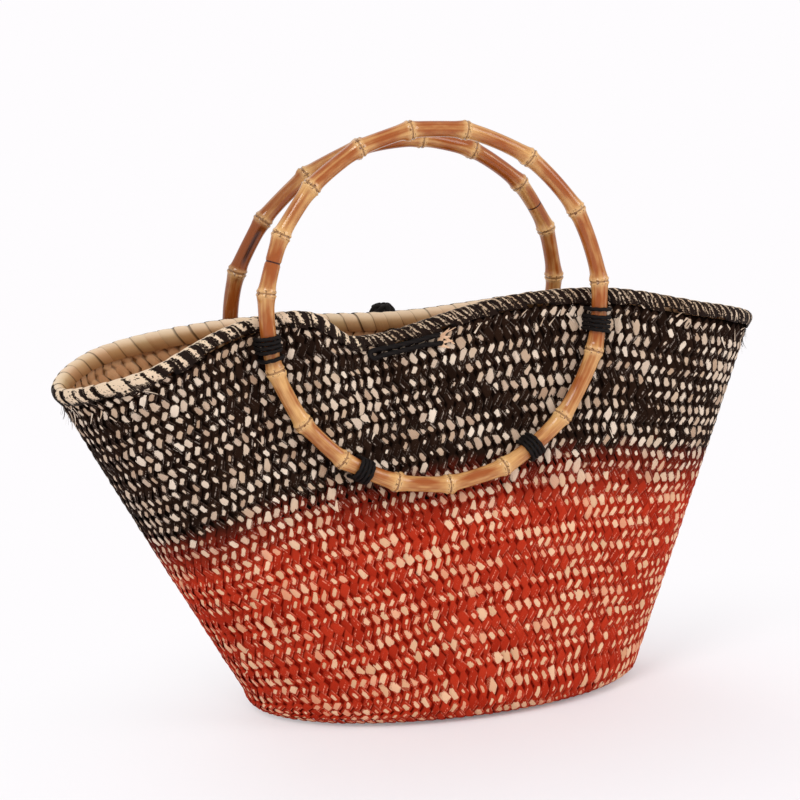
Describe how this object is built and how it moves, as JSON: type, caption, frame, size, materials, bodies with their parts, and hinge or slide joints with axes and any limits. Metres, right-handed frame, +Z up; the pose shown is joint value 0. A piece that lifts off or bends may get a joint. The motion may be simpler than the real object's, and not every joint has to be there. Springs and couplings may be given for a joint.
{
  "type": "straw handbag",
  "caption": "Oval basket bag of sewn palm-leaf plait, dyed red below and black above, with bamboo ring handles lashed to its walls and a cord loop and button.",
  "frame": {"origin": "on the floor under the middle of the bag's length and depth", "axes": "+X to the right along the bag seen from its front, +Y to the back, +Z up"},
  "size_m": [0.4653, 0.14, 0.3719],
  "materials": {
    "red plait": "matte dyed palm leaf, sewn plait",
    "black plait": "matte dyed palm leaf, sewn plait",
    "straw": "natural palm leaf, satin",
    "bamboo": "varnished bamboo cane",
    "wood": "plain wood dowel",
    "cord": "matte black twisted cord"
  },
  "bodies": {
    "bag": {"back_knot_foot_left": "cord", "back_knot_foot_right": "cord", "back_knot_rim_left": "cord", "back_knot_rim_right": "cord", "back_lashing_foot_left": "cord", "back_lashing_foot_right": "cord", "back_lashing_rim_left": "cord", "back_lashing_rim_right": "cord", "bottom_plait": "red plait", "button_cord": "cord", "button_knot": "cord", "closing_loop": "cord", "closing_loop_knot": "cord", "front_knot_foot_left": "cord", "front_knot_foot_right": "cord", "front_knot_rim_left": "cord", "front_knot_rim_right": "cord", "front_lashing_foot_left": "cord", "front_lashing_foot_right": "cord", "front_lashing_rim_left": "cord", "front_lashing_rim_right": "cord", "rim_binding": "straw", "rim_core": "straw", "wall_plait_black": "black plait", "wall_plait_red": "red plait"},
    "front_handle": {"front_handle_cane": "bamboo", "front_handle_dowel": "wood"},
    "back_handle": {"back_handle_cane": "bamboo", "back_handle_dowel": "wood"},
    "button": {"button": "cord"}
  },
  "joints": [
    {"name": "front_handle_tilt", "type": "hinge", "parent": "bag", "child": "front_handle", "pos_m": [0, -0.03671, 0.25618], "axis": [-1, 0, 0], "range_deg": [0, 5], "deforming": ["front_lashing_rim_left", "front_lashing_rim_right", "front_lashing_foot_left", "front_lashing_foot_right"]},
    {"name": "back_handle_tilt", "type": "hinge", "parent": "bag", "child": "back_handle", "pos_m": [0, 0.03744, 0.24291], "axis": [1, 0, 0], "range_deg": [0, 5], "deforming": ["back_lashing_rim_left", "back_lashing_rim_right", "back_lashing_foot_left", "back_lashing_foot_right"]},
    {"name": "button_tilt", "type": "hinge", "parent": "bag", "child": "button", "pos_m": [-0.00717, 0.02847, 0.23193], "axis": [-1, 0, 0], "range_deg": [0, 35], "deforming": ["button_cord"]}
  ]
}
